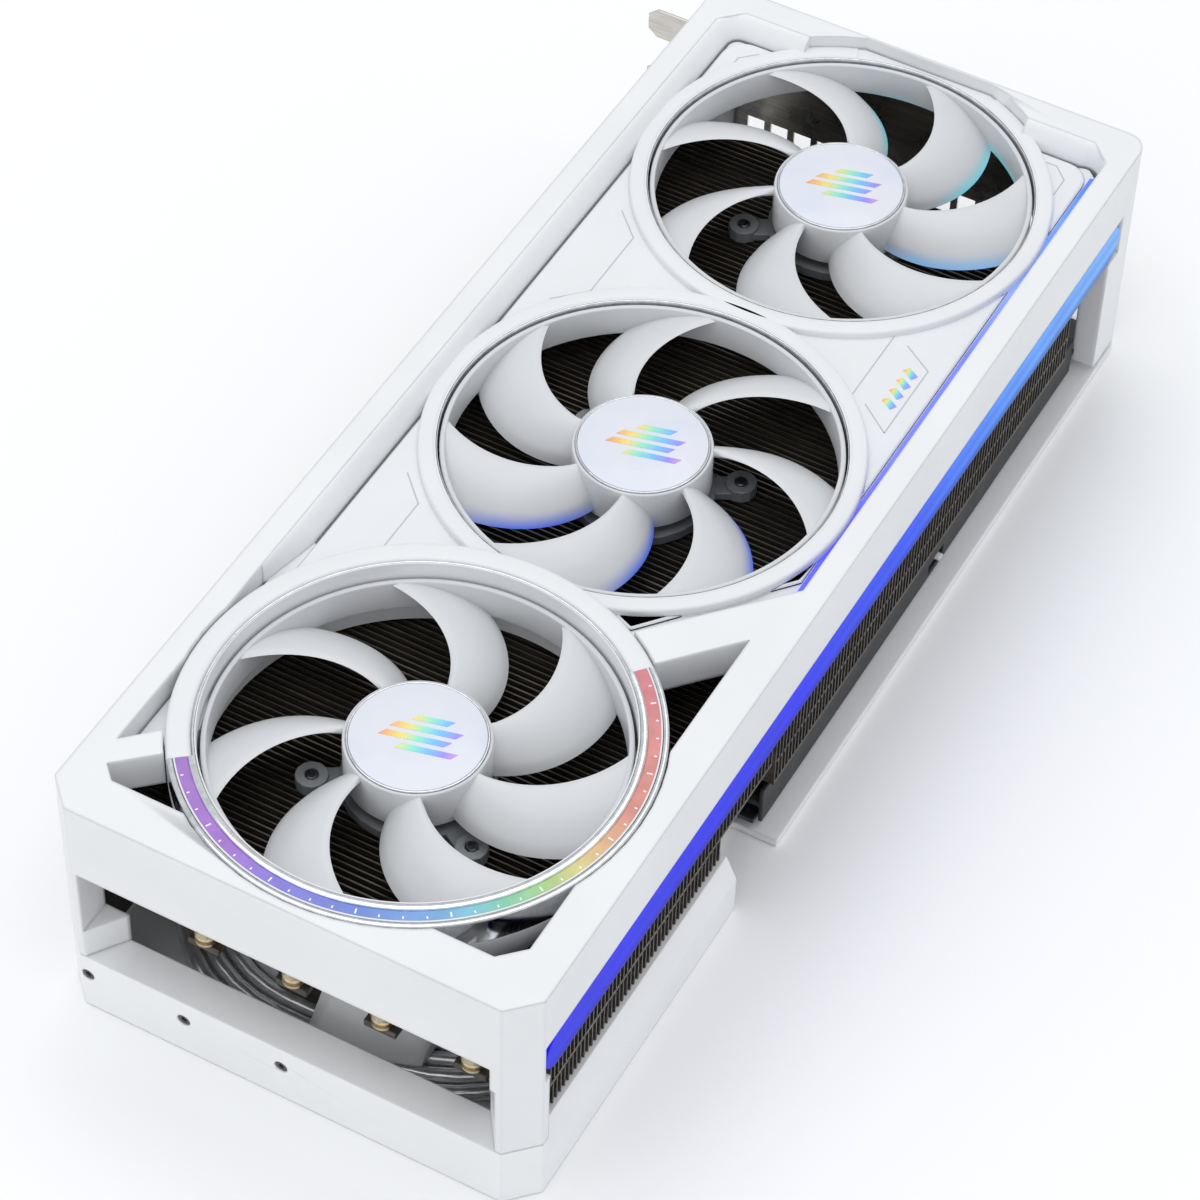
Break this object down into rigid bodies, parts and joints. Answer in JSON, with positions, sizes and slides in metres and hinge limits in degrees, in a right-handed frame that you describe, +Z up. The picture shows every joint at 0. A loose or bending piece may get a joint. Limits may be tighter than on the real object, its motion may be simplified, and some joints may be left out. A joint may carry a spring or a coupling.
{
  "type": "graphics card",
  "caption": "Large white graphics card with axial fans over finned heat sinks, lit side bar and lit fan collar, slot bracket and edge connector",
  "frame": {"origin": "middle of the casing's footprint, on the outer face of the backplate", "axes": "+X along the card towards its tail (the slot bracket is at -X), +Y towards the light bar side (the edge connector is at -Y), +Z up through the fan side"},
  "size_m": [0.3576, 0.157, 0.077],
  "materials": {
    "white_frame": "fine satin moulded plastic",
    "white_plate": "fine satin moulded plastic",
    "white_collar": "satin moulded plastic",
    "white_backplate": "fine-textured white paint",
    "white_tray": "fine-textured white paint",
    "collar_light": "translucent lens, many-coloured glow",
    "chrome_trim": "mirror bright",
    "bar_light": "translucent lens, blue glow",
    "light_board": "solder mask",
    "rail_light": "translucent lens, blue glow",
    "fan_blades": "satin",
    "rear_blades": "satin",
    "hub_badge": "pearly foil",
    "shaft_steel": "ground",
    "stator_copper": "varnished windings",
    "duct_grey": "satin",
    "motor_grey": "moulded",
    "dark_fins": "dark coated, brushed",
    "nickel": "nickel plate",
    "black_frame": "fine-textured black paint",
    "board_laminate": "black solder mask",
    "gold_contacts": "gold plate",
    "package": "laminate with a polished die",
    "black_socket": "moulded",
    "switch_lever": "moulded",
    "bracket_steel": "warm satin plate",
    "socket_metal": "stamped shell",
    "dark_screw": "blackened",
    "brass": "turned"
  },
  "bodies": {
    "card": {"backplate": "white_backplate", "brass_screw_1": "brass", "brass_screw_2": "brass", "brass_screw_3": "brass", "brass_screw_4": "brass", "circuit_board": "board_laminate", "cold_plate": "nickel", "collar_light": "collar_light", "collar_trim_inner": "chrome_trim", "collar_trim_outer": "chrome_trim", "edge_contacts": "gold_contacts", "fan_1_motor_base": "motor_grey", "fan_1_stator": "stator_copper", "fan_2_motor_base": "motor_grey", "fan_2_stator": "stator_copper", "fan_3_motor_base": "motor_grey", "fan_3_stator": "stator_copper", "fan_plate": "white_plate", "fin_stack_main": "dark_fins", "fin_stack_tail": "dark_fins", "heat_pipe_1": "nickel", "heat_pipe_2": "nickel", "heat_pipe_3": "nickel", "io_bracket": "bracket_steel", "light_bar": "bar_light", "light_bar_board": "light_board", "mid_frame": "black_frame", "mode_switch_body": "black_socket", "power_socket": "black_socket", "processor_package": "package", "rail_light": "rail_light", "rear_fan_duct": "duct_grey", "rear_fan_stator": "stator_copper", "shroud_frame": "white_frame", "tail_collar": "white_collar", "tail_tray": "white_tray", "tray_screw_1": "dark_screw", "tray_screw_2": "dark_screw", "tray_screw_3": "dark_screw", "video_socket_1": "socket_metal", "video_socket_2": "socket_metal", "video_socket_3": "socket_metal", "video_socket_4": "socket_metal", "video_socket_5": "socket_metal"},
    "fan_1": {"fan_1_rotor": "fan_blades", "fan_1_badge": "hub_badge", "fan_1_shaft": "shaft_steel"},
    "fan_2": {"fan_2_rotor": "fan_blades", "fan_2_badge": "hub_badge", "fan_2_shaft": "shaft_steel"},
    "fan_3": {"fan_3_rotor": "fan_blades", "fan_3_badge": "hub_badge", "fan_3_shaft": "shaft_steel"},
    "rear_fan": {"rear_fan_rotor": "rear_blades", "rear_fan_badge": "hub_badge", "rear_fan_shaft": "shaft_steel"},
    "mode_lever": {"mode_switch_lever": "switch_lever"}
  },
  "joints": [
    {"name": "fan_1_spin", "type": "hinge", "parent": "card", "child": "fan_1", "pos_m": [-0.1173, 0, 0.065], "axis": [0, 0, 1], "continuous": true},
    {"name": "fan_2_spin", "type": "hinge", "parent": "card", "child": "fan_2", "pos_m": [-0.0038, 0, 0.065], "axis": [0, 0, 1], "continuous": true},
    {"name": "fan_3_spin", "type": "hinge", "parent": "card", "child": "fan_3", "pos_m": [0.1097, 0, 0.065], "axis": [0, 0, 1], "continuous": true},
    {"name": "rear_fan_spin", "type": "hinge", "parent": "card", "child": "rear_fan", "pos_m": [0.1072, 0, 0.012], "axis": [0, 0, 1], "continuous": true},
    {"name": "mode_lever_slide", "type": "slide", "parent": "card", "child": "mode_lever", "axis": [1, 0, 0], "range_m": [0, 0.002]}
  ]
}
